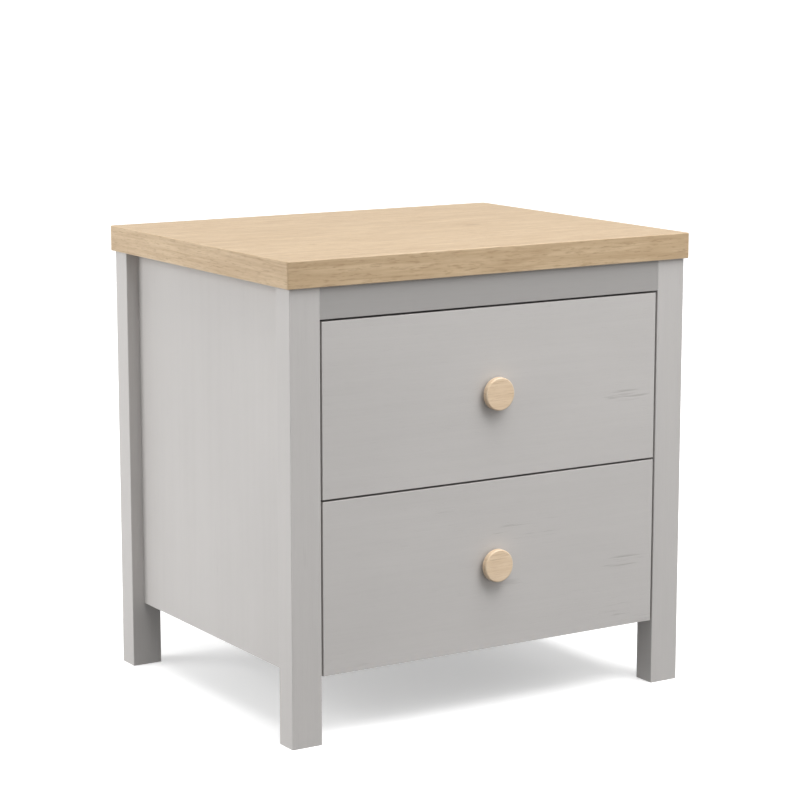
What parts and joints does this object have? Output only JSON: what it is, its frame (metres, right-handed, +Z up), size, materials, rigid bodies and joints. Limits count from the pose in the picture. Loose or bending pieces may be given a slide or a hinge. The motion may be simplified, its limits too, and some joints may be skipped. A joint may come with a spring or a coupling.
{
  "type": "nightstand with drawers",
  "caption": "Box-shaped nightstand with square legs, a thick wooden top and inset drawers with round wooden knobs that slide out on roller runners.",
  "frame": {"origin": "on the floor, in the middle of the space that the closed nightstand takes up, knobs included", "axes": "+X to the right for a person facing the drawers, +Y from the drawers to the back, +Z up"},
  "size_m": [0.5, 0.406, 0.5],
  "materials": {
    "grey_board": "satin grey foil with a faint wood grain",
    "oak_top": "satin light oak",
    "oak_knob": "satin clear-coated light oak",
    "drawer_board": "matt light grey board",
    "hardboard": "matt painted hardboard",
    "runner_steel": "white epoxy coat",
    "roller_nylon": "smooth white nylon",
    "zinc_fitting": "die-cast zinc",
    "steel_fastener": "zinc-plated steel",
    "beech_dowel": "plain beech"
  },
  "bodies": {
    "case": {"top_board": "oak_top", "front_left_post": "grey_board", "rear_left_post": "grey_board", "front_right_post": "grey_board", "rear_right_post": "grey_board", "left_side_panel": "grey_board", "right_side_panel": "grey_board", "front_top_rail": "grey_board", "rear_top_rail": "grey_board", "rear_bottom_rail": "grey_board", "front_stretcher": "grey_board", "back_panel": "hardboard", "case_cam_locks": "zinc_fitting", "case_cam_bolts": "steel_fastener", "case_dowels": "beech_dowel", "back_panel_pins": "steel_fastener", "case_axle_rivets": "steel_fastener", "case_runner_screws": "steel_fastener", "lower_drawer_case_runner_left": "runner_steel", "lower_drawer_case_runner_right": "runner_steel", "upper_drawer_case_runner_left": "runner_steel", "upper_drawer_case_runner_right": "runner_steel"},
    "lower_drawer": {"lower_drawer_front": "grey_board", "lower_drawer_bottom": "hardboard", "lower_drawer_back": "drawer_board", "lower_drawer_side_left": "drawer_board", "lower_drawer_side_right": "drawer_board", "lower_drawer_cam_locks": "zinc_fitting", "lower_drawer_cam_bolts": "steel_fastener", "lower_drawer_dowels": "beech_dowel", "lower_drawer_back_screws": "steel_fastener", "lower_drawer_knob": "oak_knob", "lower_drawer_knob_screw": "steel_fastener", "lower_drawer_axle_rivets": "steel_fastener", "lower_drawer_runner_screws": "steel_fastener", "lower_drawer_runner_left": "runner_steel", "lower_drawer_runner_right": "runner_steel"},
    "upper_drawer": {"upper_drawer_front": "grey_board", "upper_drawer_bottom": "hardboard", "upper_drawer_back": "drawer_board", "upper_drawer_side_left": "drawer_board", "upper_drawer_side_right": "drawer_board", "upper_drawer_cam_locks": "zinc_fitting", "upper_drawer_cam_bolts": "steel_fastener", "upper_drawer_dowels": "beech_dowel", "upper_drawer_back_screws": "steel_fastener", "upper_drawer_knob": "oak_knob", "upper_drawer_knob_screw": "steel_fastener", "upper_drawer_axle_rivets": "steel_fastener", "upper_drawer_runner_screws": "steel_fastener", "upper_drawer_runner_left": "runner_steel", "upper_drawer_runner_right": "runner_steel"},
    "lower_drawer_case_roller_left": {"lower_drawer_case_roller_left": "roller_nylon"},
    "lower_drawer_roller_left": {"lower_drawer_roller_left": "roller_nylon"},
    "lower_drawer_case_roller_right": {"lower_drawer_case_roller_right": "roller_nylon"},
    "lower_drawer_roller_right": {"lower_drawer_roller_right": "roller_nylon"},
    "upper_drawer_case_roller_left": {"upper_drawer_case_roller_left": "roller_nylon"},
    "upper_drawer_roller_left": {"upper_drawer_roller_left": "roller_nylon"},
    "upper_drawer_case_roller_right": {"upper_drawer_case_roller_right": "roller_nylon"},
    "upper_drawer_roller_right": {"upper_drawer_roller_right": "roller_nylon"}
  },
  "joints": [
    {"name": "lower_drawer_slide", "type": "slide", "parent": "case", "child": "lower_drawer", "axis": [0, -1, 0], "range_m": [0, 0.225]},
    {"name": "upper_drawer_slide", "type": "slide", "parent": "case", "child": "upper_drawer", "axis": [0, -1, 0], "range_m": [0, 0.225]},
    {"name": "lower_drawer_case_roller_left_spin", "type": "hinge", "parent": "case", "child": "lower_drawer_case_roller_left", "pos_m": [-0.20675, -0.153, 0.1065], "axis": [1, 0, 0], "range_deg": [0, 1620]},
    {"name": "lower_drawer_roller_left_spin", "type": "hinge", "parent": "lower_drawer", "child": "lower_drawer_roller_left", "pos_m": [-0.20615, 0.1165, 0.1065], "axis": [1, 0, 0], "range_deg": [0, 1620]},
    {"name": "lower_drawer_case_roller_right_spin", "type": "hinge", "parent": "case", "child": "lower_drawer_case_roller_right", "pos_m": [0.20675, -0.153, 0.1065], "axis": [1, 0, 0], "range_deg": [0, 1620]},
    {"name": "lower_drawer_roller_right_spin", "type": "hinge", "parent": "lower_drawer", "child": "lower_drawer_roller_right", "pos_m": [0.20615, 0.1165, 0.1065], "axis": [1, 0, 0], "range_deg": [0, 1620]},
    {"name": "upper_drawer_case_roller_left_spin", "type": "hinge", "parent": "case", "child": "upper_drawer_case_roller_left", "pos_m": [-0.20675, -0.153, 0.29], "axis": [1, 0, 0], "range_deg": [0, 1620]},
    {"name": "upper_drawer_roller_left_spin", "type": "hinge", "parent": "upper_drawer", "child": "upper_drawer_roller_left", "pos_m": [-0.20615, 0.1165, 0.29], "axis": [1, 0, 0], "range_deg": [0, 1620]},
    {"name": "upper_drawer_case_roller_right_spin", "type": "hinge", "parent": "case", "child": "upper_drawer_case_roller_right", "pos_m": [0.20675, -0.153, 0.29], "axis": [1, 0, 0], "range_deg": [0, 1620]},
    {"name": "upper_drawer_roller_right_spin", "type": "hinge", "parent": "upper_drawer", "child": "upper_drawer_roller_right", "pos_m": [0.20615, 0.1165, 0.29], "axis": [1, 0, 0], "range_deg": [0, 1620]}
  ],
  "couplings": [
    {"joint": "lower_drawer_case_roller_left_spin", "follows": "lower_drawer_slide", "rad_per_m": 125},
    {"joint": "lower_drawer_roller_left_spin", "follows": "lower_drawer_slide", "rad_per_m": 125},
    {"joint": "lower_drawer_case_roller_right_spin", "follows": "lower_drawer_slide", "rad_per_m": 125},
    {"joint": "lower_drawer_roller_right_spin", "follows": "lower_drawer_slide", "rad_per_m": 125},
    {"joint": "upper_drawer_case_roller_left_spin", "follows": "upper_drawer_slide", "rad_per_m": 125},
    {"joint": "upper_drawer_roller_left_spin", "follows": "upper_drawer_slide", "rad_per_m": 125},
    {"joint": "upper_drawer_case_roller_right_spin", "follows": "upper_drawer_slide", "rad_per_m": 125},
    {"joint": "upper_drawer_roller_right_spin", "follows": "upper_drawer_slide", "rad_per_m": 125}
  ]
}
